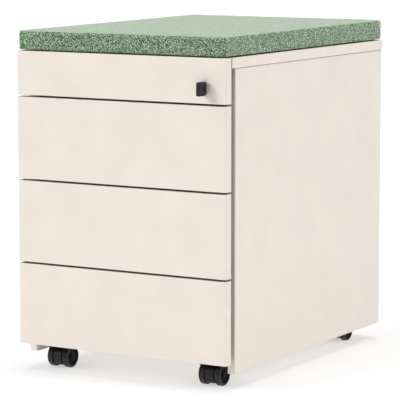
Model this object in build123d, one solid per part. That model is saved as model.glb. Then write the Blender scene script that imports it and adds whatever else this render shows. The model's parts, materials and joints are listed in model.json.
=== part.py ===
from build123d import *
import os

# Mobile pedestal: four handleless steel drawers on twin-wheel castors, with a seat cushion.
# All lengths are millimetres. X runs across the fronts, +Y goes to the back, +Z goes up.
# The origin is on the floor under the middle of the whole outline, key included.

# ---------------------------------------------------------------- driving dimensions
WIDTH = 425
DEPTH = 602              # face of the drawer fronts to the back edge of the top panel
TOP_Z = 572              # upper face of the top panel, level with the top front
KEY_REACH = 26           # key bow, ahead of the face of the fronts
SHEET = 0.8              # steel sheet of sides, liners and drawer boxes
FRONT_SHEET = 1.0        # outer sheet of the drawer fronts
HEAVY_SHEET = 1.5        # steel sheet of the bottom panel
PAST = 1                 # cutters run this far past the surface that they open

FRONT_HEIGHTS = (78, 146, 146, 146)      # top drawer first
FRONT_GAP = 3
FRONT_THICKNESS = 18
FRONT_EDGE_RADIUS = 1.8
GRIP_DEPTH = 15          # recess behind the ends of the fronts, where fingers pull

SIDE_THICKNESS = 14
SIDE_INSET = 0.5         # side panel behind the ends of the fronts and of the top
SIDE_BOTTOM_Z = 28
SIDE_EDGE_RADIUS = 1.2
TOP_HEIGHT = 18
TOP_SHEET = 1.2
TOP_SETBACK = 21         # front edge of the top panel behind the face of the fronts
TOP_SEAM = 0.5           # open seam between the top panel and the side panels
BACK_INSET = 4           # back edge of the side panels ahead of the top's back edge
BACK_SHEET = 1.2
BACK_SIDE_MARGIN = 2     # back panel's edges inside those of the sides
BACK_LOWER_MARGIN = 12
BACK_CORNER_RADIUS = 3

BOTTOM_Z = 53            # underside of the bottom panel, where the castors are screwed on
BOTTOM_FLANGE = 14
BOTTOM_SETBACK = 1
CROSSBAR_HEIGHT = 5
CROSSBAR_DEPTH = 17
CROSSBAR_SETBACK = 2

RAIL_LENGTH = 480
RAIL_START = 56          # front end of the slides behind the face of the fronts
RAIL_SHEET = 1.2
SLIDE_WIDTH = 13         # room for one slide between drawer box and side panel
TALL_RAIL = (17.5, 13.8, 10.1)           # half heights: cabinet, middle, drawer rail
LOW_RAIL = (13.5, 10.5, 7.5)             # the same for the pencil drawer
CABINET_RAIL_REACH = 11.5                # from the side liner towards the box
MIDDLE_RAIL_WEB = 4                      # web of the middle rail, from the side liner
MIDDLE_RAIL_LIP = 2.3                    # edges of the middle rail, from the drawer box
DRAWER_RAIL_REACH = 6.8                  # from the drawer box towards the side

BOX_LENGTH = 510
BOX_LIFT = 24            # underside of a tall drawer box above its front's lower edge
BOX_HEIGHT = 108
BOX_RAIL_HEIGHT = 32     # middle of the slides above the underside of a tall box
PENCIL_BOX_LIFT = 6
PENCIL_BOX_HEIGHT = 47
PENCIL_RAIL_HEIGHT = 37.5
BOX_EDGE_RETURN = 5      # turned-in top edge of the drawer box

LOCK_FROM_SIDE = 40
LOCK_FROM_TOP = 51.6
LOCK_BODY_RADIUS = 9
LOCK_FLANGE_RADIUS = 12
LOCK_FLANGE_HEIGHT = 2
LOCK_BODY_END = 34       # depths below are behind the face of the fronts
PLUG_RADIUS = 6.45
PLUG_BORE_RADIUS = 6.5
PLUG_END = 39.5
CAM_START = 37
CAM_THICKNESS = 2
CAM_LENGTH = 28
CAM_WIDTH = 5
CAM_HUB_RADIUS = 6
CAM_GAP = 1.5            # room beside the cam in the slots that it passes
CAM_SLOT_Z = (-15, 4.5)  # slot in the right liner, from the lock's axis
TAIL_HALF = 3            # half the square tail that turns the cam
NUT_THICKNESS = 5
NUT_CORNER_RADIUS = 11.9
KEYWAY = (2.4, 8.4, 25)                  # across, tall, deep
KEY_BLADE = (2.0, 8.0, 23)
KEY_BOW = (6.7, 24.0, 23.5)
KEY_OVERLAP = 6          # length of blade moulded into the bow
KEY_DISH = (12, 14, 0.7)                 # deep, tall and sunk, one on each side of the bow

BAR_THICKNESS = 2
BAR_DEPTH = 7
BAR_START = 43
BAR_BOTTOM_Z = 70
BAR_LIFT = 10            # travel of the lock bar when the key is turned
BAR_GAP = 0.5            # room beside the bar
BAR_TAB_HEIGHT = 2.5
BAR_TAB_REACH = 8.5
LOOP_HEIGHT = 8
LOOP_GAP = 0.2           # room between the bar and the bridge of a loop
LOOP_DROP = 10           # middle of a loop below its front's upper edge
HOOK_DEPTH = 6
HOOK_HEIGHT = 6
HOOK_REACH = 7.5
HOOK_ABOVE_RAIL = 15.5
CATCH_ABOVE_RAIL = 23.5
CATCH_HEIGHT = 8.5
CATCH_START = 51
CATCH_FOOT = (1.5, 18)   # thickness and length of the flange on the box
CATCH_EAR = (8.5, 2.5)   # reach and thickness of the ear that the hook meets

CASTOR_FROM_SIDE = 55
CASTOR_DEPTHS = {"front": 70, "rear": 547}   # swivel axes behind the face of the fronts
CASTOR_TRAIL = 13
WHEEL_RADIUS = 20
WHEEL_INNER = 10         # inner and outer side of a wheel from the castor's middle plane
WHEEL_OUTER = 21.25
AXLE_RADIUS = 3
AXLE_LENGTH = 36
KINGPIN_RADIUS = 4
KINGPIN_BOTTOM_Z = 41.5
RUNNING_FIT = 0.05
HOOD_GAP = 0.8           # between a wheel's tread and the hood
HOOD_THICKNESS = 1.6
HOOD_LOW_Z = 36
HEAD_RADIUS = 9
HEAD_Z = (30, 48.7)
HUB_BODY_WIDTH = 16      # body of the fork between the two wheels
HUB_BODY_RADIUS = 19.2
HUB_BODY_LOW_Z = 5.5
WHEEL_EDGE_RADII = (2.0, 1.5)            # outer and inner shoulder
WHEEL_DISH = (15.5, 7, 2.4)              # outer and inner radius, and depth
WHEEL_BORE_END = 18.5    # from the castor's middle plane
PLATE_SIZE = 38
PLATE_THICKNESS = 2
PLATE_CORNER_RADIUS = 4
SCREW_SPACING = 28
SCREW_RADIUS = 2
SCREW_LENGTH = 6
SCREW_HEAD = (3.6, 1.8)  # radius and height

CUSHION_BOARD = 2.5
CUSHION_BOARD_INSET = 12
CUSHION_HEIGHT = 32
CUSHION_CORNER_RADIUS = 6
CUSHION_EDGE_RADIUS = 4

RIVET_RADIUS = 1.6
RIVET_HEAD = (3, 1.1)    # radius and height
RIVET_TAIL = 3
RIVETS_PER_SIDE = 5
RIVET_END_MARGIN = 40

# ---------------------------------------------------------------- derived planes
FACE_Y = -(DEPTH - KEY_REACH) / 2
BACK_Y = FACE_Y + DEPTH
HALF_WIDTH = WIDTH / 2
SIDE_OUT = HALF_WIDTH - SIDE_INSET
SIDE_IN = SIDE_OUT - SIDE_THICKNESS
SIDE_FRONT_Y = FACE_Y + FRONT_THICKNESS + GRIP_DEPTH
SIDE_BACK_Y = BACK_Y - BACK_INSET
UNDER_TOP_Z = TOP_Z - TOP_HEIGHT
BOX_HALF = SIDE_IN - SLIDE_WIDTH
RAIL_Y = (FACE_Y + RAIL_START, FACE_Y + RAIL_START + RAIL_LENGTH)
BOX_Y = (FACE_Y + FRONT_THICKNESS, FACE_Y + FRONT_THICKNESS + BOX_LENGTH)
LOCK_X = HALF_WIDTH - LOCK_FROM_SIDE
LOCK_Z = TOP_Z - LOCK_FROM_TOP
BAR_X = (SIDE_IN - BAR_GAP - BAR_THICKNESS, SIDE_IN - BAR_GAP)
CAM_Y = (FACE_Y + CAM_START, FACE_Y + CAM_START + CAM_THICKNESS)
CAM_SLOT_Y = (CAM_Y[0] - CAM_GAP, CAM_Y[1] + CAM_GAP)
BAR_Y = (FACE_Y + BAR_START, FACE_Y + BAR_START + BAR_DEPTH)
CUSHION_Z = TOP_Z + CUSHION_BOARD
CASTOR_X = HALF_WIDTH - CASTOR_FROM_SIDE
DRAWERS = (1, 2, 3, 4)
LOCKED_BY_BAR = (2, 3, 4)
SIDES = {"left": -1, "right": 1}


def front_limits(number):
    """Lower and upper edge of a drawer front; number 1 is the top one."""
    above = sum(FRONT_HEIGHTS[:number - 1]) + FRONT_GAP * (number - 1)
    high = TOP_Z - above
    return high - FRONT_HEIGHTS[number - 1], high


def box_limits(number):
    """Underside and top edge of a drawer box."""
    low = front_limits(number)[0]
    if number == 1:
        return low + PENCIL_BOX_LIFT, low + PENCIL_BOX_LIFT + PENCIL_BOX_HEIGHT
    return low + BOX_LIFT, low + BOX_LIFT + BOX_HEIGHT


def rail_height(number):
    """Height of the middle line of a drawer's slides."""
    lift = PENCIL_RAIL_HEIGHT if number == 1 else BOX_RAIL_HEIGHT
    return box_limits(number)[0] + lift


# ---------------------------------------------------------------- shape helpers
def block(x, y, z):
    """Box between a low and a high limit along each axis, given in either order."""
    limits = [sorted(pair) for pair in (x, y, z)]
    size = [high - low for low, high in limits]
    middle = [(low + high) / 2 for low, high in limits]
    return Pos(*middle) * Box(*size)


def rod(direction, middle, radius, length):
    """Cylinder along X, Y or Z about its own middle point."""
    turn = {"X": Rot(0, 90, 0), "Y": Rot(90, 0, 0), "Z": Rot(0, 0, 0)}[direction]
    return Pos(*middle) * turn * Cylinder(radius, length)


def group(solids):
    """Several separate solids in one node."""
    return Compound(children=list(solids))


def channel(web_x, lip_x, height, half_height):
    """C section along the slide: web at web_x, both flanges reaching to lip_x."""
    outward = 1 if lip_x > web_x else -1
    outer = block((web_x, lip_x), RAIL_Y, (height - half_height, height + half_height))
    inner_half = half_height - RAIL_SHEET
    hollow = block((web_x + outward * RAIL_SHEET, lip_x + outward * PAST),
                   (RAIL_Y[0] - PAST, RAIL_Y[1] + PAST),
                   (height - inner_half, height + inner_half))
    return outer - hollow


def castor_sites():
    """Name, swivel x and swivel y of each castor."""
    for end, depth in CASTOR_DEPTHS.items():
        for side, sign in SIDES.items():
            yield f"{end}_{side}", sign * CASTOR_X, FACE_Y + depth


def screw_sites():
    """Middle of each castor screw, four to a plate."""
    reach = SCREW_SPACING / 2
    for _, x, y in castor_sites():
        for dx in (-reach, reach):
            for dy in (-reach, reach):
                yield x + dx, y + dy


def rivet_sites():
    """Middle of each rivet that holds the back panel to the side panels."""
    x = SIDE_OUT - SIDE_THICKNESS / 2
    low = SIDE_BOTTOM_Z + RIVET_END_MARGIN
    step = (UNDER_TOP_Z - RIVET_END_MARGIN - low) / (RIVETS_PER_SIDE - 1)
    for sign in SIDES.values():
        for index in range(RIVETS_PER_SIDE):
            yield sign * x, low + index * step


# ---------------------------------------------------------------- carcass
def top_panel():
    """Folded tray, open below, resting on the side panels."""
    y = (FACE_Y + TOP_SETBACK, BACK_Y)
    outer = block((-HALF_WIDTH, HALF_WIDTH), y, (UNDER_TOP_Z, TOP_Z))
    outer = fillet(outer.faces().sort_by(Axis.Z)[-1].edges(), SIDE_EDGE_RADIUS)
    hollow = block((-HALF_WIDTH + TOP_SHEET, HALF_WIDTH - TOP_SHEET),
                   (y[0] + TOP_SHEET, y[1] - TOP_SHEET),
                   (UNDER_TOP_Z - PAST, TOP_Z - TOP_SHEET))
    return outer - hollow


def side_panel(sign):
    """Outer sheet of a side, folded in all round; open towards the drawers."""
    z = (SIDE_BOTTOM_Z, UNDER_TOP_Z - TOP_SEAM)
    y = (SIDE_FRONT_Y, SIDE_BACK_Y)
    outer = block((sign * SIDE_IN, sign * SIDE_OUT), y, z)
    outer_face = outer.faces().sort_by(Axis.X)[-1 if sign > 0 else 0]
    outer = fillet(outer_face.edges(), SIDE_EDGE_RADIUS)
    hollow = block((sign * (SIDE_IN - PAST), sign * (SIDE_OUT - SHEET)),
                   (y[0] + SHEET, y[1] - SHEET), (z[0] + SHEET, z[1] - SHEET))
    panel = outer - hollow
    for x, height in rivet_sites():
        if x * sign > 0:
            panel -= rod("Y", (x, SIDE_BACK_Y, height), RIVET_RADIUS, 2 * RIVET_TAIL)
    return panel


def side_liner(sign):
    """Inner sheet of a side, which carries the cabinet rails."""
    y = (SIDE_FRONT_Y + SHEET, SIDE_BACK_Y - SHEET)
    z = (SIDE_BOTTOM_Z + SHEET, UNDER_TOP_Z - TOP_SEAM - SHEET)
    return block((sign * SIDE_IN, sign * (SIDE_IN + SHEET)), y, z)


def bar_loop(height):
    """Loop of sheet welded to the right liner, which guides the lock bar."""
    z = (height - LOOP_HEIGHT / 2, height + LOOP_HEIGHT / 2)
    inner_y = (BAR_Y[0] - BAR_GAP, BAR_Y[1] + BAR_GAP)
    inner_x = BAR_X[0] - LOOP_GAP
    loop = block((inner_x - SHEET, SIDE_IN), (inner_y[0] - SHEET, inner_y[1] + SHEET), z)
    return loop - block((inner_x, SIDE_IN), inner_y, (z[0] - PAST, z[1] + PAST))


def right_side_liner():
    """Liner with the slot that the lock's cam enters, and the loops of the lock bar."""
    low, high = CAM_SLOT_Z
    slot = block((SIDE_IN - PAST, SIDE_IN + SHEET + PAST), CAM_SLOT_Y, (LOCK_Z + low, LOCK_Z + high))
    loops = [bar_loop(front_limits(number)[1] - LOOP_DROP) for number in LOCKED_BY_BAR]
    return group([side_liner(1) - slot, *loops])


def back_panel():
    """Flat sheet riveted over the back edges of both side panels."""
    x = SIDE_OUT - BACK_SIDE_MARGIN
    panel = block((-x, x), (SIDE_BACK_Y, SIDE_BACK_Y + BACK_SHEET),
                  (SIDE_BOTTOM_Z + BACK_LOWER_MARGIN, UNDER_TOP_Z - TOP_SEAM))
    panel = fillet(panel.edges().filter_by(Axis.Y), BACK_CORNER_RADIUS)
    for rivet_x, height in rivet_sites():
        panel -= rod("Y", (rivet_x, SIDE_BACK_Y, height), RIVET_RADIUS, 2 * RIVET_TAIL)
    return panel


def carcass_rivets():
    """Blind rivets of the back panel."""
    radius, head = RIVET_HEAD
    rounding = 0.7
    back = SIDE_BACK_Y + BACK_SHEET
    rivets = []
    for x, height in rivet_sites():
        rivet = rod("Y", (x, back + head / 2, height), radius, head)
        rivet = fillet(rivet.edges().sort_by(Axis.Y)[-1], rounding)
        rivet += rod("Y", (x, back - RIVET_TAIL / 2, height), RIVET_RADIUS, RIVET_TAIL)
        rivets.append(rivet)
    return group(rivets)


def bottom_panel():
    """Tray with its flanges up, between the side panels."""
    y = (SIDE_FRONT_Y + BOTTOM_SETBACK, SIDE_BACK_Y)
    tray = block((-SIDE_IN, SIDE_IN), y, (BOTTOM_Z, BOTTOM_Z + BOTTOM_FLANGE))
    tray -= block((-SIDE_IN + HEAVY_SHEET, SIDE_IN - HEAVY_SHEET),
                  (y[0] + HEAVY_SHEET, y[1] - HEAVY_SHEET),
                  (BOTTOM_Z + HEAVY_SHEET, BOTTOM_Z + BOTTOM_FLANGE + PAST))
    for x, screw_y in screw_sites():
        tray -= rod("Z", (x, screw_y, BOTTOM_Z), SCREW_RADIUS, 2 * SCREW_LENGTH)
    return tray


def front_crossbar():
    """Channel that ties the side panels together under the top's front edge."""
    start = SIDE_FRONT_Y + CROSSBAR_SETBACK
    y = (start, start + CROSSBAR_DEPTH)
    low = UNDER_TOP_Z - CROSSBAR_HEIGHT
    bar = block((-SIDE_IN, SIDE_IN), y, (low, UNDER_TOP_Z))
    bar -= block((-SIDE_IN - PAST, SIDE_IN + PAST), (y[0] + TOP_SHEET, y[1] - TOP_SHEET),
                 (low + TOP_SHEET, UNDER_TOP_Z + PAST))
    return bar


def cushion_board():
    """Stiff base of the cushion, set back so that its edge stays in shadow."""
    x = HALF_WIDTH - CUSHION_BOARD_INSET
    y = (FACE_Y + TOP_SETBACK + CUSHION_BOARD_INSET, BACK_Y - CUSHION_BOARD_INSET)
    board = block((-x, x), y, (TOP_Z, CUSHION_Z))
    return fillet(board.edges().filter_by(Axis.Z), CUSHION_CORNER_RADIUS)


def seat_cushion():
    """Plain closed pad with rounded edges."""
    pad = block((-HALF_WIDTH, HALF_WIDTH), (FACE_Y, BACK_Y),
                (CUSHION_Z, CUSHION_Z + CUSHION_HEIGHT))
    pad = fillet(pad.edges().filter_by(Axis.Z), CUSHION_CORNER_RADIUS)
    rims = pad.faces().sort_by(Axis.Z)[0].edges() + pad.faces().sort_by(Axis.Z)[-1].edges()
    return fillet(rims, CUSHION_EDGE_RADIUS)


# ---------------------------------------------------------------- slides
def rail_halves(number):
    """Half heights of the cabinet, middle and drawer rails of one drawer."""
    return LOW_RAIL if number == 1 else TALL_RAIL


def cabinet_rails():
    """Fixed member of every slide, eight in all, on the side liners."""
    lip = SIDE_IN - CABINET_RAIL_REACH
    rails = []
    for number in DRAWERS:
        for sign in SIDES.values():
            rails.append(channel(sign * SIDE_IN, sign * lip,
                                 rail_height(number), rail_halves(number)[0]))
    return group(rails)


def middle_rails(number):
    """Member that travels half as far as its drawer, one each side."""
    web = SIDE_IN - MIDDLE_RAIL_WEB
    lip = BOX_HALF + MIDDLE_RAIL_LIP
    height = rail_height(number)
    half = rail_halves(number)[1]
    return group(channel(s * web, s * lip, height, half) for s in SIDES.values())


def drawer_rails(number):
    """Member fixed to the side walls of the drawer box."""
    lip = BOX_HALF + DRAWER_RAIL_REACH
    height = rail_height(number)
    half = rail_halves(number)[2]
    return group(channel(s * BOX_HALF, s * lip, height, half) for s in SIDES.values())


# ---------------------------------------------------------------- drawers
def lock_hole(radius):
    """Cutter for the lock body through a front and everything behind it."""
    return lock_rod(-PAST, LOCK_BODY_END, radius)


def drawer_front(number):
    """Outer sheet of a front, folded back all round with soft front edges."""
    low, high = front_limits(number)
    y = (FACE_Y, FACE_Y + FRONT_THICKNESS)
    outer = block((-HALF_WIDTH, HALF_WIDTH), y, (low, high))
    outer = fillet(outer.edges().filter_by(Axis.Y), SIDE_EDGE_RADIUS)
    outer = fillet(outer.faces().sort_by(Axis.Y)[0].edges(), FRONT_EDGE_RADIUS)
    hollow = block((-HALF_WIDTH + FRONT_SHEET, HALF_WIDTH - FRONT_SHEET),
                   (y[0] + FRONT_SHEET, y[1] + PAST), (low + FRONT_SHEET, high - FRONT_SHEET))
    front = outer - hollow
    return front - lock_hole(LOCK_BODY_RADIUS) if number == 1 else front


def drawer_front_liner(number):
    """Inner sheet that closes the back of a front."""
    low, high = front_limits(number)
    x = HALF_WIDTH - FRONT_SHEET
    back = FACE_Y + FRONT_THICKNESS
    liner = block((-x, x), (back - SHEET, back), (low + FRONT_SHEET, high - FRONT_SHEET))
    return liner - lock_hole(LOCK_BODY_RADIUS) if number == 1 else liner


def drawer_box(number):
    """Open steel tray with turned-in top edges."""
    low, high = box_limits(number)
    tray = block((-BOX_HALF, BOX_HALF), BOX_Y, (low, high))
    tray -= block((-BOX_HALF + SHEET, BOX_HALF - SHEET),
                  (BOX_Y[0] + SHEET, BOX_Y[1] - SHEET), (low + SHEET, high - SHEET))
    tray -= block((-BOX_HALF + BOX_EDGE_RETURN, BOX_HALF - BOX_EDGE_RETURN),
                  (BOX_Y[0] + BOX_EDGE_RETURN, BOX_Y[1] - BOX_EDGE_RETURN),
                  (high - 2 * SHEET, high + PAST))
    if number == 1:
        tray -= lock_hole(LOCK_BODY_RADIUS)
        tray -= block((LOCK_X - CAM_WIDTH, BOX_HALF + PAST), CAM_SLOT_Y,
                      (low - PAST, LOCK_Z + CAM_WIDTH))
    return tray


def drawer_lock_catch(number):
    """Angle on the drawer's right wall that the raised lock bar holds back."""
    low = rail_height(number) + CATCH_ABOVE_RAIL
    z = (low, low + CATCH_HEIGHT)
    start = FACE_Y + CATCH_START
    foot_thickness, foot_length = CATCH_FOOT
    ear_reach, ear_thickness = CATCH_EAR
    foot = block((BOX_HALF, BOX_HALF + foot_thickness), (start, start + foot_length), z)
    ear = block((BOX_HALF, BOX_HALF + ear_reach), (start, start + ear_thickness), z)
    return foot + ear


# ---------------------------------------------------------------- lock
def lock_point(depth):
    """Point on the lock's axis, at a depth behind the face of the fronts."""
    return LOCK_X, FACE_Y + depth, LOCK_Z


def lock_rod(start, end, radius):
    """Cylinder about the lock's axis between two depths."""
    return rod("Y", lock_point((start + end) / 2), radius, end - start)


def lock_housing():
    """Round flange on the front and a sleeve through it."""
    flange = lock_rod(-LOCK_FLANGE_HEIGHT, 0, LOCK_FLANGE_RADIUS)
    rounding = 1.2
    flange = fillet(flange.edges().sort_by(Axis.Y)[0], rounding)
    body = flange + lock_rod(0, LOCK_BODY_END, LOCK_BODY_RADIUS)
    bore = lock_rod(-LOCK_FLANGE_HEIGHT - PAST, LOCK_BODY_END + PAST, PLUG_BORE_RADIUS)
    return body - bore


def lock_nut():
    """Hexagon ring nut behind the drawer box's front wall."""
    start = FRONT_THICKNESS + SHEET
    outline = RegularPolygon(NUT_CORNER_RADIUS, 6, rotation=30)
    hexagon = extrude(outline, NUT_THICKNESS / 2, both=True)
    nut = Pos(*lock_point(start + NUT_THICKNESS / 2)) * Rot(90, 0, 0) * hexagon
    return nut - lock_rod(0, LOCK_BODY_END, LOCK_BODY_RADIUS)


def lock_plug():
    """Turning core with its keyway, and a square tail for the cam."""
    sunk = 0.4
    plug = lock_rod(-LOCK_FLANGE_HEIGHT + sunk, LOCK_BODY_END + PAST, PLUG_RADIUS)
    plug += block((LOCK_X - TAIL_HALF, LOCK_X + TAIL_HALF),
                  (FACE_Y + LOCK_BODY_END, FACE_Y + PLUG_END),
                  (LOCK_Z - TAIL_HALF, LOCK_Z + TAIL_HALF))
    wide, tall, deep = KEYWAY
    plug -= block((LOCK_X - wide / 2, LOCK_X + wide / 2),
                  (FACE_Y - LOCK_FLANGE_HEIGHT - PAST, FACE_Y - LOCK_FLANGE_HEIGHT + deep),
                  (LOCK_Z - tall / 2, LOCK_Z + tall / 2))
    return plug


def lock_cam():
    """Arm on the plug's tail; it points down when the lock is open."""
    half = CAM_WIDTH / 2
    rounding = 1.5
    arm = block((LOCK_X - half, LOCK_X + half), CAM_Y, (LOCK_Z - CAM_LENGTH, LOCK_Z))
    arm = fillet(arm.edges().filter_by(Axis.Y).group_by(Axis.Z)[0], rounding)
    arm += lock_rod(CAM_START, CAM_START + CAM_THICKNESS, CAM_HUB_RADIUS)
    return arm - block((LOCK_X - TAIL_HALF, LOCK_X + TAIL_HALF),
                       (CAM_Y[0] - PAST, CAM_Y[1] + PAST),
                       (LOCK_Z - TAIL_HALF, LOCK_Z + TAIL_HALF))


def key_blade():
    """Flat blade with cuts along its lower edge."""
    wide, tall, deep = KEY_BLADE
    start = FACE_Y - KEY_REACH + KEY_BOW[2] - KEY_OVERLAP
    end = FACE_Y - LOCK_FLANGE_HEIGHT + deep
    blade = block((LOCK_X - wide / 2, LOCK_X + wide / 2), (start, end),
                  (LOCK_Z - tall / 2, LOCK_Z + tall / 2))
    cut_depths = (1.0, 2.0, 1.5, 1.0, 2.0)
    first_cut = 4
    spacing = 3.4
    cut_width = 1.6
    for index, cut_depth in enumerate(cut_depths):
        cut_y = FACE_Y + first_cut + spacing * index
        blade -= block((LOCK_X - wide, LOCK_X + wide), (cut_y, cut_y + cut_width),
                       (LOCK_Z - tall / 2 - PAST, LOCK_Z - tall / 2 + cut_depth))
    return blade


def key_bow():
    """Moulded grip of the key, upright, with a shallow dish on each side."""
    wide, tall, deep = KEY_BOW
    y = (FACE_Y - KEY_REACH, FACE_Y - KEY_REACH + deep)
    bow = block((LOCK_X - wide / 2, LOCK_X + wide / 2), y,
                (LOCK_Z - tall / 2, LOCK_Z + tall / 2))
    corner, rim, dish_corner = 3, 0.8, 4
    bow = fillet(bow.edges().filter_by(Axis.X), corner)
    bow = fillet(bow.faces().filter_by(Axis.X).edges(), rim)
    middle_y = FACE_Y - KEY_REACH + deep / 2
    dish_deep, dish_tall, sunk = KEY_DISH
    for sign in SIDES.values():
        dish = block((LOCK_X + sign * wide / 2, LOCK_X + sign * (wide / 2 - sunk)),
                     (middle_y - dish_deep / 2, middle_y + dish_deep / 2),
                     (LOCK_Z - dish_tall / 2, LOCK_Z + dish_tall / 2))
        bow -= fillet(dish.edges().filter_by(Axis.X), dish_corner)
    blade_slot = block((LOCK_X - KEY_BLADE[0] / 2, LOCK_X + KEY_BLADE[0] / 2),
                       (y[1] - KEY_OVERLAP, y[1] + PAST),
                       (LOCK_Z - KEY_BLADE[1] / 2, LOCK_Z + KEY_BLADE[1] / 2))
    return bow - blade_slot


def lock_bar():
    """Flat bar beside the right liner: a tab over the cam, and a hook for each lower drawer."""
    over_cam = 0.3
    tab_low = LOCK_Z + CAM_WIDTH / 2 + over_cam - BAR_LIFT
    tab_high = tab_low + BAR_TAB_HEIGHT
    bar = block(BAR_X, BAR_Y, (BAR_BOTTOM_Z, tab_high))
    bar += block((BAR_X[0] - BAR_TAB_REACH, BAR_X[0]), (CAM_Y[0], BAR_Y[1]), (tab_low, tab_high))
    for number in LOCKED_BY_BAR:
        low = rail_height(number) + HOOK_ABOVE_RAIL
        bar += block((BAR_X[0] - HOOK_REACH, BAR_X[1]),
                     (BAR_Y[0], BAR_Y[0] + HOOK_DEPTH), (low, low + HOOK_HEIGHT))
    return bar


# ---------------------------------------------------------------- castors
def castor_plates():
    """Plate under the bottom panel with its kingpin riveted in, one for each castor."""
    plates = []
    top = BOTTOM_Z
    half = PLATE_SIZE / 2
    pin_z = (KINGPIN_BOTTOM_Z, top - PLATE_THICKNESS / 2)
    for _, x, y in castor_sites():
        plate = block((x - half, x + half), (y - half, y + half), (top - PLATE_THICKNESS, top))
        plate = fillet(plate.edges().filter_by(Axis.Z), PLATE_CORNER_RADIUS)
        plate += rod("Z", (x, y, sum(pin_z) / 2), KINGPIN_RADIUS, pin_z[1] - pin_z[0])
        plates.append(plate)
    plates = group(plates)
    for x, y in screw_sites():
        plates -= rod("Z", (x, y, top), SCREW_RADIUS, 2 * SCREW_LENGTH)
    return group(plates.solids())


def castor_screws():
    """Pan-head screws, four to a plate, through plate and bottom panel."""
    head_top = BOTTOM_Z - PLATE_THICKNESS
    radius, head = SCREW_HEAD
    rounding = 0.8
    screws = []
    for x, y in screw_sites():
        screw = rod("Z", (x, y, head_top - head / 2), radius, head)
        screw = fillet(screw.edges().sort_by(Axis.Z)[0], rounding)
        screw += rod("Z", (x, y, head_top + SCREW_LENGTH / 2), SCREW_RADIUS, SCREW_LENGTH)
        screws.append(screw)
    return group(screws)


def castor_fork(x, y):
    """Swivel head, hood over the wheels, and the body between them that holds the axle."""
    axle = (x, y - CASTOR_TRAIL, WHEEL_RADIUS)
    inner = WHEEL_RADIUS + HOOD_GAP
    outer = inner + HOOD_THICKNESS
    around_x = (x - WHEEL_OUTER, x + WHEEL_OUTER)
    around_y = (y - 2 * outer, y + 2 * outer)
    hood = rod("X", axle, outer, 2 * WHEEL_OUTER) & block(around_x, around_y, (HOOD_LOW_Z, 2 * outer))
    head = rod("Z", (x, y, sum(HEAD_Z) / 2), HEAD_RADIUS, HEAD_Z[1] - HEAD_Z[0])
    body = rod("X", axle, HUB_BODY_RADIUS, HUB_BODY_WIDTH)
    body -= block(around_x, around_y, (-outer, HUB_BODY_LOW_Z))
    fork = hood + head + body
    room = (HUB_BODY_WIDTH / 2, WHEEL_OUTER + PAST)
    for sign in SIDES.values():
        fork -= rod("X", (x + sign * sum(room) / 2, *axle[1:]), inner, room[1] - room[0])
    fork -= rod("Z", (x, y, HEAD_Z[1]), KINGPIN_RADIUS + RUNNING_FIT,
                2 * (HEAD_Z[1] - KINGPIN_BOTTOM_Z + PAST))
    return fork - rod("X", axle, AXLE_RADIUS, HUB_BODY_WIDTH + 2 * PAST)


def castor_axle(x, y):
    """Steel pin pressed through the body of the fork; both wheels run on it."""
    axle = rod("X", (x, y - CASTOR_TRAIL, WHEEL_RADIUS), AXLE_RADIUS, AXLE_LENGTH)
    bevel = 0.5
    return chamfer(axle.edges(), bevel)


def castor_wheel(x, y, sign):
    """One wheel of a castor, with a dished outer side and a blind bore."""
    middle = (y - CASTOR_TRAIL, WHEEL_RADIUS)
    width = WHEEL_OUTER - WHEEL_INNER
    wheel = rod("X", (x + sign * (WHEEL_INNER + width / 2), *middle), WHEEL_RADIUS, width)
    by_side = wheel.edges().sort_by(Axis.X, reverse=sign < 0)
    outer_radius, inner_radius = WHEEL_EDGE_RADII
    wheel = fillet(by_side[-1], outer_radius)
    inner_edge = wheel.edges().filter_by(GeomType.CIRCLE).sort_by(Axis.X, reverse=sign < 0)[0]
    wheel = fillet(inner_edge, inner_radius)
    rim, hub, depth = WHEEL_DISH
    outer_face = (x + sign * WHEEL_OUTER, *middle)
    wheel -= rod("X", outer_face, rim, 2 * depth) - rod("X", outer_face, hub, 2 * depth + PAST)
    bore_length = WHEEL_BORE_END - WHEEL_INNER + PAST
    bore_middle = x + sign * (WHEEL_BORE_END - bore_length / 2)
    return wheel - rod("X", (bore_middle, *middle), AXLE_RADIUS + RUNNING_FIT, bore_length)


# ---------------------------------------------------------------- the whole cabinet
def carcass_nodes():
    return {
        "top_panel": top_panel(),
        "left_side_panel": side_panel(-1),
        "right_side_panel": side_panel(1),
        "left_side_liner": side_liner(-1),
        "right_side_liner": right_side_liner(),
        "back_panel": back_panel(),
        "bottom_panel": bottom_panel(),
        "front_crossbar": front_crossbar(),
        "carcass_rivets": carcass_rivets(),
        "cabinet_rails": cabinet_rails(),
        "castor_plates": castor_plates(),
        "castor_screws": castor_screws(),
        "cushion_board": cushion_board(),
        "seat_cushion": seat_cushion(),
    }


def drawer_nodes():
    nodes = {}
    for number in DRAWERS:
        nodes[f"drawer_{number}_front"] = drawer_front(number)
        nodes[f"drawer_{number}_front_liner"] = drawer_front_liner(number)
        nodes[f"drawer_{number}_box"] = drawer_box(number)
        nodes[f"drawer_{number}_rails"] = drawer_rails(number)
        nodes[f"drawer_{number}_middle_rails"] = middle_rails(number)
    for number in LOCKED_BY_BAR:
        nodes[f"drawer_{number}_lock_catch"] = drawer_lock_catch(number)
    return nodes


def lock_nodes():
    return {
        "lock_housing": lock_housing(),
        "lock_nut": lock_nut(),
        "lock_plug": lock_plug(),
        "lock_cam": lock_cam(),
        "key_blade": key_blade(),
        "key_bow": key_bow(),
        "lock_bar": lock_bar(),
    }


def castor_nodes():
    nodes = {}
    for name, x, y in castor_sites():
        nodes[f"castor_{name}_fork"] = castor_fork(x, y)
        nodes[f"castor_{name}_axle"] = castor_axle(x, y)
        for side, sign in SIDES.items():
            nodes[f"castor_{name}_wheel_{side}"] = castor_wheel(x, y, sign)
    return nodes


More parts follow.
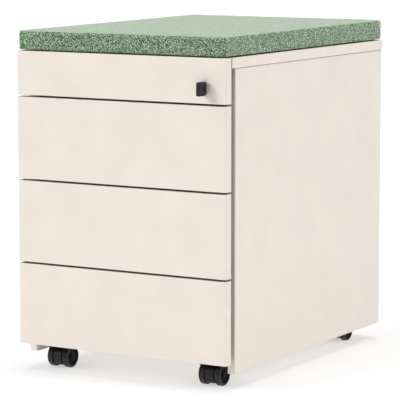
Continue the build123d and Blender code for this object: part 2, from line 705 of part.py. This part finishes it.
def write_parts():
    os.makedirs("parts", exist_ok=True)
    nodes = {**carcass_nodes(), **drawer_nodes(), **lock_nodes(), **castor_nodes()}
    for name, shape in nodes.items():
        export_step(shape, f"parts/{name}.step")


write_parts()
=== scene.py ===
import json
import math

import bmesh
import bpy
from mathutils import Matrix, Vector, noise


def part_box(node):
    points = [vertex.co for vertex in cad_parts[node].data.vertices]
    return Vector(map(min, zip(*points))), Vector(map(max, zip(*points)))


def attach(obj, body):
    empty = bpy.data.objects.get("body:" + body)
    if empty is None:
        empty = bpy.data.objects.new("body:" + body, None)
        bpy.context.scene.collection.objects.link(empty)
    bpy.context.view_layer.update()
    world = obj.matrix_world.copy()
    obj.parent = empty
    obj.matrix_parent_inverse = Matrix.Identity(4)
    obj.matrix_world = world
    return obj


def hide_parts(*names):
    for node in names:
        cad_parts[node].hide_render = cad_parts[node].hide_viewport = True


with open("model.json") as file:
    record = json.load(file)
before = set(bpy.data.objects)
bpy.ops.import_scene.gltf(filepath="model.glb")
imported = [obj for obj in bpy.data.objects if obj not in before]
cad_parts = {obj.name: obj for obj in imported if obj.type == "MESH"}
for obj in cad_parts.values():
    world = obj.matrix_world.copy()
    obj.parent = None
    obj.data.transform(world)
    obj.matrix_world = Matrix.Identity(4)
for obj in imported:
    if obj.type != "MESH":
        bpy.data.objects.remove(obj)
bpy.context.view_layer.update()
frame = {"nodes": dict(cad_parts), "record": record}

MM = 0.001
nodes = frame["nodes"]


# ---------------------------------------------------------------- shader helpers
class Shader:
    """A material with one Principled shader, and short calls that add nodes to it."""

    def __init__(self, name):
        self.material = bpy.data.materials.new(name)
        self.material.use_nodes = True
        self.tree = self.material.node_tree
        self.tree.nodes.clear()
        output = self.tree.nodes.new("ShaderNodeOutputMaterial")
        self.principled = self.tree.nodes.new("ShaderNodeBsdfPrincipled")
        self.tree.links.new(self.principled.outputs["BSDF"], output.inputs["Surface"])

    def add(self, kind, inputs=None, **settings):
        """New node; each input is a socket to link or a value to set."""
        made = self.tree.nodes.new("ShaderNode" + kind)
        for key, value in settings.items():
            setattr(made, key, value)
        for key, value in (inputs or {}).items():
            self.feed(made.inputs[key], value)
        return made

    def feed(self, socket, value):
        if isinstance(value, bpy.types.NodeSocket):
            self.tree.links.new(value, socket)
        else:
            socket.default_value = value

    def set(self, **inputs):
        """Links the Principled shader's own sockets, named with underscores, or sets them."""
        for key, value in inputs.items():
            self.feed(self.principled.inputs[key.replace("_", " ")], value)

    def math(self, operation, a, b=0.0):
        return self.add("Math", {0: a, 1: b}, operation=operation).outputs[0]

    def place(self):
        """Position in the piece's own coordinates, in metres."""
        return self.add("TexCoord").outputs["Object"]

    def noise(self, size, detail=2.0, roughness=0.5, vector=None):
        """Noise whose features are about the given size, in metres."""
        inputs = {"Vector": vector or self.place(), "Scale": 1.0 / size,
                  "Detail": detail, "Roughness": roughness}
        return self.add("TexNoise", inputs).outputs["Fac"]

    def stretched(self, scale):
        """Position with each axis multiplied, for grain that runs one way."""
        return self.add("Mapping", {"Vector": self.place(), "Scale": scale}).outputs[0]

    def mix(self, factor, low, high):
        made = self.add("Mix", data_type="RGBA")
        self.feed(made.inputs[0], factor)
        self.feed(made.inputs[6], low)
        self.feed(made.inputs[7], high)
        return made.outputs[2]

    def between(self, value, low, high, new_low=0.0, new_high=1.0):
        inputs = {0: value, 1: low, 2: high, 3: new_low, 4: new_high}
        return self.add("MapRange", inputs).outputs[0]

    def bump(self, height, distance, strength):
        inputs = {"Height": height, "Distance": distance, "Strength": strength}
        return self.add("Bump", inputs).outputs[0]

    def edge(self, radius):
        """1 on sharp or tightly rounded edges, 0 on flat faces."""
        bevel = self.add("Bevel", {"Radius": radius}, samples=4).outputs[0]
        flat = self.add("NewGeometry").outputs["Normal"]
        same = self.add("VectorMath", {0: bevel, 1: flat}, operation="DOT_PRODUCT")
        return self.between(same.outputs["Value"], 0.995, 0.86)

    def crevice(self, reach):
        """1 deep in narrow gaps, 0 on open faces."""
        open_share = self.add("AmbientOcclusion", {"Distance": reach}, samples=8).outputs["AO"]
        return self.between(open_share, 0.85, 0.3)


def rgb(red, green, blue):
    """Linear colour from the 0 to 255 values of a display."""
    def linear(level):
        level /= 255
        return level / 12.92 if level <= 0.04045 else ((level + 0.055) / 1.055) ** 2.4
    return (linear(red), linear(green), linear(blue), 1.0)


# ---------------------------------------------------------------- materials
def powder_coat(name, colour, shade):
    """Fine-textured matt coat: orange peel, faint clouds, a painted highlight on the edges and
    painted shade in the gaps.
    """
    s = Shader(name)
    clouds = s.noise(60 * MM, 3)
    speck = s.noise(0.9 * MM, 2)
    tone = s.mix(s.between(clouds, 0.3, 0.7), shade, colour)
    tone = s.mix(s.between(speck, 0.62, 0.8, 0, 0.10), tone, shade)
    # painted highlight: edges and tight roundings are lightened, as if they catch the light
    edge_highlight = tuple(min(1.0, c * 1.06) for c in colour[:3]) + (1.0,)
    tone = s.mix(s.math("MULTIPLY", s.edge(1.4 * MM), 0.6), tone, edge_highlight)
    # painted shade: the coat darkens deep in narrow gaps and recesses, where shade falls
    tone = s.mix(s.math("MULTIPLY", s.crevice(20 * MM), 0.75), tone, GAP_SHADE_CREAM)
    peel = s.math("ADD", s.noise(1.6 * MM, 2), s.math("MULTIPLY", speck, 0.5))
    s.set(Base_Color=tone, Roughness=s.between(clouds, 0.3, 0.7, 0.50, 0.60),
          Normal=s.bump(peel, 0.12 * MM, 0.6), Specular_IOR_Level=0.35)
    return s.material


def plated_steel(name, colour, grain):
    """Zinc plate: rolling lines along one axis, soft blotches, duller in patches."""
    s = Shader(name)
    lines = s.noise(1.0 * MM, 3, 0.6, s.stretched(grain))
    blotch = s.noise(14 * MM, 3)
    dull = tuple(c * 0.72 for c in colour[:3]) + (1.0,)
    tone = s.mix(s.between(blotch, 0.35, 0.7), colour, dull)
    tone = s.mix(s.between(lines, 0.45, 0.75, 0, 0.35), tone, dull)
    s.set(Base_Color=tone, Roughness=s.between(blotch, 0.3, 0.7, 0.28, 0.46),
          Normal=s.bump(lines, 0.02 * MM, 0.5), Metallic=1.0)
    return s.material


def satin_nickel(name):
    """Turned nickel: fine rings about the lock's axis."""
    s = Shader(name)
    low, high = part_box("lock_housing")
    middle = (low + high) / 2
    moved = s.add("VectorMath", {0: s.place(), 1: (middle.x, 0, middle.z)}, operation="SUBTRACT")
    flat = s.add("VectorMath", {0: moved.outputs[0], 1: (1, 0, 1)}, operation="MULTIPLY")
    radius = s.add("VectorMath", {0: flat.outputs[0]}, operation="LENGTH").outputs["Value"]
    rings = s.math("SINE", s.math("MULTIPLY", radius, 2 * math.pi / (0.35 * MM)))
    wear = s.noise(3 * MM, 3)
    tone = s.mix(s.between(wear, 0.4, 0.7), rgb(236, 228, 217), rgb(214, 206, 195))
    s.set(Base_Color=tone, Roughness=s.between(wear, 0.3, 0.7, 0.42, 0.56),
          Normal=s.bump(rings, 0.02 * MM, 0.6), Metallic=0.35)
    return s.material


def moulded_plastic(name, colour, rubbed, grain, roughness, specular):
    """Moulded black plastic: spark-eroded grain, scuffs and slightly polished edges."""
    s = Shader(name)
    fine = s.noise(grain, 3, 0.6)
    scuff = s.noise(9 * MM, 5, 0.7)
    tone = s.mix(s.between(scuff, 0.5, 0.72, 0, 0.7), colour, rubbed)
    tone = s.mix(s.math("MULTIPLY", s.edge(0.7 * MM), 0.55), tone, rubbed)
    s.set(Base_Color=tone, Roughness=s.between(scuff, 0.3, 0.7, roughness - 0.08, roughness + 0.08),
          Normal=s.bump(fine, 0.04 * MM, 0.6), Specular_IOR_Level=specular)
    return s.material


def hardboard(name):
    """Dark pressed board with loose fibres; the board's own dark brown, darkened further as painted
    shade for the line under the cushion.
    """
    s = Shader(name)
    fibres = s.noise(0.8 * MM, 4, 0.7, s.stretched((1, 0.3, 1)))
    # partly painted shade: darker than the board alone, for the shadow line under the cushion
    tone = s.mix(s.between(fibres, 0.35, 0.7), rgb(30, 25, 20), rgb(52, 44, 35))
    s.set(Base_Color=tone, Normal=s.bump(fibres, 0.15 * MM, 0.8), Roughness=0.85)
    return s.material


# ---------------------------------------------------------------- woven cover
YARN = 1.95 * MM         # spacing of the yarns
YARN_DRIFT = 1.6 * MM    # how far they wander
SLUB = 2.0 * MM          # size of the lighter and darker stretches of yarn
SLUB_STRETCH = (1, 0.45, 1)
# painted light on the cover's upward faces
TOP_LIGHT_GREEN = rgb(196, 212, 193)
DARK_GREEN = rgb(36, 60, 38)
MID_GREEN = rgb(112, 143, 109)
PALE_GREEN = rgb(209, 231, 203)
SHEEN_GREEN = rgb(225, 238, 222)


def yarn_grid(s):
    """Two coordinates counted in yarns, which run in the cover's plane on every side."""
    wobble = s.add("TexNoise", {"Vector": s.place(), "Scale": 1 / (7 * MM), "Detail": 2.0})
    centred = s.add("VectorMath", {0: wobble.outputs["Color"], 1: (0.5, 0.5, 0.5)},
                    operation="SUBTRACT")
    bent = s.add("VectorMath", {0: centred.outputs[0], 1: (YARN_DRIFT,) * 3}, operation="MULTIPLY")
    moved = s.add("VectorMath", {0: s.place(), 1: bent.outputs[0]}, operation="ADD")
    split = s.add("SeparateXYZ", {0: moved.outputs[0]})
    x, y, z = split.outputs
    normal = s.add("SeparateXYZ", {0: s.add("TexCoord").outputs["Normal"]})
    upright = s.math("ABSOLUTE", normal.outputs[2])
    lying = s.math("GREATER_THAN", upright, 0.70)
    standing = s.math("SUBTRACT", 1.0, lying)
    across = s.math("ADD", s.math("MULTIPLY", x, lying),
                    s.math("MULTIPLY", s.math("ADD", x, y), standing))
    along = s.math("ADD", s.math("MULTIPLY", y, lying), s.math("MULTIPLY", z, standing))
    return s.math("DIVIDE", across, YARN), s.math("DIVIDE", along, YARN)


def woven_cover(name):
    """Coarse plain weave in mixed greens: each crossing has its own tone and its own bulge, and
    painted shade darkens the hollows between the yarns.
    """
    s = Shader(name)
    across, along = yarn_grid(s)
    column = s.math("FLOOR", across)
    row = s.math("FLOOR", along)
    over = s.math("FLOORED_MODULO", s.math("ADD", column, row), 2.0)

    def hump(value, power):
        part = s.math("FRACT", value)
        arch = s.math("SINE", s.math("MULTIPLY", part, math.pi))
        return s.math("POWER", arch, power)

    warp = s.math("MULTIPLY", hump(across, 0.5), hump(along, 0.8))
    weft = s.math("MULTIPLY", hump(along, 0.5), hump(across, 0.8))
    height = s.math("ADD", s.math("MULTIPLY", warp, over),
                    s.math("MULTIPLY", weft, s.math("SUBTRACT", 1.0, over)))
    cell = s.add("CombineXYZ", {0: column, 1: row, 2: 0.0}).outputs[0]
    chance = s.add("TexWhiteNoise", {"Vector": cell}, noise_dimensions="3D").outputs["Value"]
    slubs = s.noise(SLUB, 2, 0.6, s.stretched(SLUB_STRETCH))
    patch = s.between(slubs, 0.38, 0.62)
    lightness = s.math("ADD", s.math("MULTIPLY", chance, 0.4), s.math("MULTIPLY", patch, 0.6))
    fibre = s.noise(0.35 * MM, 3, 0.7)
    tone = s.mix(s.between(lightness, 0.22, 0.46), DARK_GREEN, MID_GREEN)
    tone = s.mix(s.between(lightness, 0.54, 0.78), tone, PALE_GREEN)
    # painted shade: the hollows between the yarns are darkened
    tone = s.mix(s.between(height, 0.55, 0.0, 0.0, 0.75), tone, DARK_GREEN)
    tone = s.mix(s.between(fibre, 0.55, 0.8, 0.0, 0.25), tone, PALE_GREEN)
    # painted light: faces that look up are lightened, as if lit from above
    upward = s.add("SeparateXYZ", {0: s.add("TexCoord").outputs["Normal"]}).outputs[2]
    tone = s.mix(s.between(upward, 0.6, 0.9, 0.0, 0.5), tone, TOP_LIGHT_GREEN)
    relief = s.math("ADD", height, s.math("MULTIPLY", fibre, 0.18))
    s.set(Base_Color=tone, Normal=s.bump(relief, 0.55 * MM, 0.7), Roughness=0.9,
          Specular_IOR_Level=0.15, Sheen_Weight=0.8, Sheen_Roughness=0.4, Sheen_Tint=SHEEN_GREEN)
    return s.material


CREAM = rgb(240, 230, 220)
# painted shade colour for the coat deep in gaps and recesses
GAP_SHADE_CREAM = rgb(118, 108, 98)
CREAM_SHADE = rgb(236, 226, 216)
BOX_CREAM = rgb(232, 222, 211)
BOX_SHADE = rgb(226, 216, 205)
ZINC = rgb(196, 198, 200)
BLACK = rgb(17, 17, 18)
RUBBED_BLACK = rgb(64, 64, 65)
# painted shade for the wheels' sunk caps
CAP_SHADE_BLACK = rgb(9, 9, 10)

recipes = {
    "cream_powder_coat": (powder_coat, CREAM, CREAM_SHADE),
    "drawer_box_coat": (powder_coat, BOX_CREAM, BOX_SHADE),
    "slide_steel": (plated_steel, ZINC, (1, 0.02, 1)),
    "zinc_steel": (plated_steel, ZINC, (1, 1, 0.1)),
    "lock_nickel": (satin_nickel,),
    "key_black": (moulded_plastic, BLACK, RUBBED_BLACK, 0.5 * MM, 0.42, 0.35),
    "castor_black": (moulded_plastic, BLACK, RUBBED_BLACK, 0.7 * MM, 0.40, 0.35),
    "wheel_black": (moulded_plastic, BLACK, RUBBED_BLACK, 0.9 * MM, 0.36, 0.4),
    # painted shade: the sunk cap gets a darker, duller black than the tread
    "wheel_cap_black": (moulded_plastic, CAP_SHADE_BLACK, BLACK, 0.5 * MM, 0.55, 0.12),
    "hardboard": (hardboard,),
    "green_weave": (woven_cover,),
}
materials = {name: make(name, *settings) for name, (make, *settings) in recipes.items()}


def paint_cad_nodes():
    for row in frame["record"]["subparts"]:
        mesh = nodes[row["node"]].data
        mesh.materials.clear()
        mesh.materials.append(materials[row["material_slot"]])


# ---------------------------------------------------------------- seat cushion
SHRINK = 0.8 * MM        # the blank starts this much inside the CAD pad, and swells
EDGE = 3.6 * MM          # rounding of all the pad's edges
CELL = 6.0 * MM
PRESSURE = 4.0
CAP = 2.0 * MM           # furthest a point of the cover may travel
BOARD_INSET = 11 * MM    # the rim overhangs the stiff board by this much, and sags
SAG = 2.3 * MM
PUFF = 1.6 * MM          # the filling lifts the top by this much
BACK_RISE = 2.2 * MM     # the top is this much higher at the back
CROWN = 0.9 * MM         # further rise of the top towards its middle
SWELL_FRAMES = 20
SEAM_REACH = 1.3 * MM    # a seam pulls in the cover this far to each side
CORNER_SEAM = 0.75 * MM  # depth of the four upright seams
RIM_SEAM = 0.5 * MM      # depth of the seams round the top and the base
WAVE = 0.35 * MM         # height of the waves in the sides


def link(name, mesh):
    made = bpy.data.objects.new(name, mesh)
    bpy.context.scene.collection.objects.link(made)
    return made


def mesh_from(bm, name):
    mesh = bpy.data.meshes.new(name)
    bm.to_mesh(mesh)
    bm.free()
    return mesh


def apply_modifiers(piece):
    """Replaces the piece's mesh by what its modifiers make of it."""
    graph = bpy.context.evaluated_depsgraph_get()
    mesh = bpy.data.meshes.new_from_object(piece.evaluated_get(graph))
    piece.modifiers.clear()
    piece.data = mesh


def shade_smooth(mesh):
    mesh.polygons.foreach_set("use_smooth", [True] * len(mesh.polygons))


def grid_lines(half, radius, cell):
    """Rows across one direction of a rounded box: even on the flat, closer round the edges."""
    flat = half - radius
    count = max(1, round(2 * flat / cell))
    even = [flat * (2 * index / count - 1) for index in range(count + 1)]
    turn = [flat + radius * math.tan(math.radians(45 * step / 4)) for step in (1, 2, 3, 4)]
    return [-value for value in reversed(turn)] + even + turn


def rounded_box(low, high, radius, cell):
    """Closed box of quads with every edge and corner rounded."""
    middle, half = (low + high) / 2, (high - low) / 2
    core = half - Vector((radius, radius, radius))
    lines = [grid_lines(length, radius, cell) for length in half]
    last = [len(row) - 1 for row in lines]
    bm = bmesh.new()
    made = {}

    def vertex(index):
        if index not in made:
            on_box = Vector([lines[axis][index[axis]] for axis in range(3)])
            near = Vector([max(-core[axis], min(core[axis], on_box[axis])) for axis in range(3)])
            made[index] = bm.verts.new(middle + near + (on_box - near).normalized() * radius)
        return made[index]

    for axis in range(3):
        u, v = (axis + 1) % 3, (axis + 2) % 3
        for end in (0, last[axis]):
            for i in range(last[u]):
                for j in range(last[v]):
                    loop = []
                    for di, dj in ((0, 0), (1, 0), (1, 1), (0, 1)):
                        index = [end, end, end]
                        index[u], index[v] = i + di, j + dj
                        loop.append(vertex(tuple(index)))
                    bm.faces.new(loop if end else reversed(loop))
    return bm


def swell(piece):
    """Inflates the pad with the cloth solver, and keeps the shape of its last frame."""
    cloth = piece.modifiers.new("cover", "CLOTH")
    cloth.settings.use_pressure = True
    cloth.settings.uniform_pressure_force = PRESSURE
    cloth.settings.effector_weights.gravity = 0
    cloth.settings.quality = 5
    for number in range(1, SWELL_FRAMES + 1):
        bpy.context.scene.frame_set(number)
    apply_modifiers(piece)
    bpy.context.scene.frame_set(1)


def settle_cushion(mesh, rest, low, high):
    """Limits the swelling, flattens the base, crowns the top and lets the rim sag."""
    middle, half = (low + high) / 2, (high - low) / 2
    for vertex, start in zip(mesh.vertices, rest):
        shift = vertex.co - start
        if shift.length > CAP:
            shift *= CAP / shift.length
        spot = start + shift
        across = 1 - abs((start.x - middle.x) / half.x) ** 4
        along = 1 - abs((start.y - middle.y) / half.y) ** 6
        if start.z > high.z - EDGE:
            spot.z += CROWN * max(0.0, across * along)
            spot.z += BACK_RISE * (start.y - low.y) / (high.y - low.y)
        spot.z = max(spot.z, low.z)
        rim = max(abs(start.x - middle.x) - half.x, abs(start.y - middle.y) - half.y)
        if rim > -BOARD_INSET:
            low_part = max(0.0, 1 - (start.z - low.z) / (high.z - low.z))
            spot.z -= SAG * low_part * (1 + rim / BOARD_INSET)
        vertex.co = spot


def groove(distance, reach, depth):
    """How far a seam pulls in a point at this distance from it."""
    return depth * (1 - (distance / reach) ** 2) ** 2 if abs(distance) < reach else 0.0


def sew_seams(mesh, low, high):
    """Pulls the cover in along its twelve edges, with small puckers, and waves the sides."""
    middle, half = (low + high) / 2, (high - low) / 2
    core = half - Vector((EDGE, EDGE, EDGE)) - Vector((SHRINK, SHRINK, SHRINK))
    for vertex in mesh.vertices:
        spot = vertex.co - middle
        over = [abs(spot[axis]) - core[axis] for axis in range(3)]
        out = Vector([math.copysign(max(0.0, over[axis]), spot[axis]) for axis in range(3)])
        away = out.normalized() if out.length > 0 else Vector((0, 0, 0))
        pucker = 1 + 0.5 * noise.noise(vertex.co / (6 * MM))
        pull = 0.0
        for a, b in ((0, 1), (1, 2), (0, 2)):
            if over[a] > 0 and over[b] > 0:
                depth = (CORNER_SEAM if (a, b) == (0, 1) else RIM_SEAM) * pucker
                from_seam = (over[a] - over[b]) / math.sqrt(2)
                pull = max(pull, groove(from_seam, SEAM_REACH, depth))
        wave = WAVE * noise.noise(vertex.co / (28 * MM)) if over[2] < 0 else 0.0
        vertex.co += away * (wave - pull)


def seat_cushion():
    low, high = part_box("seat_cushion")
    high = high + Vector((0, 0, PUFF))
    inset = Vector((SHRINK, SHRINK, SHRINK))
    pad = link("seat_pad", mesh_from(rounded_box(low + inset, high - inset, EDGE, CELL), "pad"))
    rest = [vertex.co.copy() for vertex in pad.data.vertices]
    swell(pad)
    settle_cushion(pad.data, rest, low, high)
    smooth = pad.modifiers.new("smooth", "SUBSURF")
    smooth.levels = smooth.render_levels = 1
    apply_modifiers(pad)
    sew_seams(pad.data, low, high)
    shade_smooth(pad.data)
    pad.data.materials.clear()
    pad.data.materials.append(materials["green_weave"])
    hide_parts("seat_cushion")
    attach(pad, "cabinet")


# ---------------------------------------------------------------- castor wheels
# Millimetres: across from the middle of the castor, or as radii.
BORE = 3.05
BORE_END = 18.5
BORE_CHAMFER = 0.4
FACE_RING = (9.0, 14.5, 0.5)     # shallow ring in the inner face: its two radii and depth
INNER_SHOULDER = 1.8
OUTER_SHOULDER = 2.2
GROOVE_INSET = 4.2               # middle of the tread's groove from the outer face
GROOVE_STEPS = ((-0.6, 0.0), (-0.35, 0.2), (-0.25, 0.9), (0.25, 0.9), (0.35, 0.2), (0.6, 0.0))
CAP_STEPS = (                    # sunk from the outer face, at each radius: rim, dish, hub
    (0.0, 16.2), (0.3, 15.7), (1.9, 15.2), (2.3, 14.7), (2.2, 10.5), (1.7, 8.4), (0.9, 7.4),
    (0.4, 6.9), (0.25, 4.8), (0.05, 3.0), (0.0, 0.0))
CAP_RADIUS = 15.8                # inside this radius and depth the cap's material begins
CAP_DEPTH = 2.6
WHEEL_TURNS = 72


def arc(middle, radius, start, end, count):
    """Points of an arc in a profile, as (across, radius) pairs; angles in degrees."""
    points = []
    for step in range(count + 1):
        angle = math.radians(start + (end - start) * step / count)
        points.append((middle[0] + radius * math.cos(angle), middle[1] + radius * math.sin(angle)))
    return points


def wheel_profile(inner, outer, tread):
    """From the blind end of the bore, over the tread, to the middle of the sunk cap."""
    ring_low, ring_high, ring_depth = FACE_RING
    points = [(BORE_END, 0.0), (BORE_END, BORE), (inner + BORE_CHAMFER, BORE),
              (inner, BORE + BORE_CHAMFER), (inner, ring_low),
              (inner + ring_depth, ring_low + ring_depth),
              (inner + ring_depth, ring_high - ring_depth), (inner, ring_high)]
    points += arc((inner + INNER_SHOULDER, tread - INNER_SHOULDER), INNER_SHOULDER, 180, 90, 5)
    points += [(outer - GROOVE_INSET + across, tread - depth) for across, depth in GROOVE_STEPS]
    points += arc((outer - OUTER_SHOULDER, tread - OUTER_SHOULDER), OUTER_SHOULDER, 90, 0, 6)
    points += [(outer - sunk, radius) for sunk, radius in CAP_STEPS]
    return points


def lathe(profile, middle, sign, name):
    """Closed solid turned about an axis along X; both ends of the profile are on the axis."""
    bm = bmesh.new()
    rings = []
    for across, radius in profile:
        x = middle.x + sign * across * MM
        if radius == 0:
            rings.append([bm.verts.new((x, middle.y, middle.z))] * WHEEL_TURNS)
            continue
        made = []
        for step in range(WHEEL_TURNS):
            angle = math.tau * step / WHEEL_TURNS
            made.append(bm.verts.new((x, middle.y + radius * MM * math.cos(angle),
                                      middle.z + radius * MM * math.sin(angle))))
        rings.append(made)
    for one, two in zip(rings, rings[1:]):
        for step in range(WHEEL_TURNS):
            after = (step + 1) % WHEEL_TURNS
            corners = dict.fromkeys((one[step], one[after], two[after], two[step]))
            bm.faces.new(list(corners))
    bmesh.ops.recalc_face_normals(bm, faces=bm.faces)
    return mesh_from(bm, name)


def paint_cap(mesh, middle, far):
    """Gives the sunk cap on the wheel's outer face the second material, a darker black that is
    painted shade for the dished cap.
    """
    for polygon in mesh.polygons:
        across = abs(polygon.center.x - middle.x)
        radius = math.hypot(polygon.center.y - middle.y, polygon.center.z - middle.z)
        if radius < CAP_RADIUS * MM and across > far - CAP_DEPTH * MM:
            polygon.material_index = 1


def castor_wheels():
    for end in ("front", "rear"):
        for castor_side in ("left", "right"):
            castor = f"castor_{end}_{castor_side}"
            low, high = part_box(f"{castor}_axle")
            middle = (low + high) / 2
            for side, sign in (("left", -1), ("right", 1)):
                node = f"{castor}_wheel_{side}"
                low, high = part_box(node)
                near, far = sorted((abs(low.x - middle.x), abs(high.x - middle.x)))
                profile = wheel_profile(near / MM, far / MM, (high.z - low.z) / 2 / MM)
                wheel = link(f"{node}_turned", lathe(profile, middle, sign, node))
                shade_smooth(wheel.data)
                wheel.data.materials.append(materials["wheel_black"])
                wheel.data.materials.append(materials["wheel_cap_black"])
                paint_cap(wheel.data, middle, far)
                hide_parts(node)
                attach(wheel, node)


# ---------------------------------------------------------------- stage, light, camera
FLOOR_REACH = 40         # metres
WORLD_STRENGTH = 0.26
SUNS = (                 # name, azimuth, elevation, strength, softness; angles in degrees
    ("front_softbox", -42, 32, 1.60, 30),
    ("side_softbox", 99, 30, 0.94, 8),
    ("top_softbox", 180, 82, 1.85, 50))
CAMERA_PLACE = (2.0838, -3.5835, 0.8306)
CAMERA_TURN = 30.25      # degrees to the left of straight ahead
CAMERA_DIP = 7.47        # degrees below the horizon
CAMERA_LENS = 204.1


def floor():
    mesh = bpy.data.meshes.new("studio_floor")
    corners = [(x * FLOOR_REACH, y * FLOOR_REACH, 0) for x, y in ((-1, -1), (1, -1), (1, 1), (-1, 1))]
    mesh.from_pydata(corners, [], [(0, 1, 2, 3)])
    s = Shader("studio_floor")
    grain = s.noise(0.4, 2)
    s.set(Base_Color=s.mix(grain, rgb(180, 180, 180), rgb(186, 186, 186)), Roughness=0.9,
          Specular_IOR_Level=0.0, Emission_Color=(1, 1, 1, 1), Emission_Strength=0.5)
    mesh.materials.append(s.material)
    link("studio_floor", mesh)


def sun(name, azimuth, elevation, strength, softness):
    """Broad light from a direction: azimuth 0 is in front of the drawers, 90 on the right."""
    data = bpy.data.lights.new(name, "SUN")
    data.energy = strength
    data.angle = math.radians(softness)
    lamp = bpy.data.objects.new(name, data)
    bpy.context.scene.collection.objects.link(lamp)
    a, e = math.radians(azimuth), math.radians(elevation)
    towards = Vector((math.sin(a) * math.cos(e), -math.cos(a) * math.cos(e), math.sin(e)))
    lamp.rotation_euler = towards.to_track_quat("Z", "Y").to_euler()


def light():
    world = bpy.data.worlds.new("studio")
    world.use_nodes = True
    background = world.node_tree.nodes["Background"]
    background.inputs["Color"].default_value = (1.0, 1.0, 1.0, 1.0)
    background.inputs["Strength"].default_value = WORLD_STRENGTH
    bpy.context.scene.world = world
    for settings in SUNS:
        sun(*settings)
    bpy.context.scene.view_settings.view_transform = "Standard"


def camera():
    """Long lens from the front right, a little above the cushion."""
    data = bpy.data.cameras.new("studio_camera")
    data.lens = CAMERA_LENS
    data.clip_end = 200
    made = bpy.data.objects.new("studio_camera", data)
    bpy.context.scene.collection.objects.link(made)
    made.location = CAMERA_PLACE
    made.rotation_euler = (math.radians(90 - CAMERA_DIP), 0, math.radians(CAMERA_TURN))
    bpy.context.scene.camera = made


paint_cad_nodes()
seat_cushion()
castor_wheels()
floor()
light()
camera()
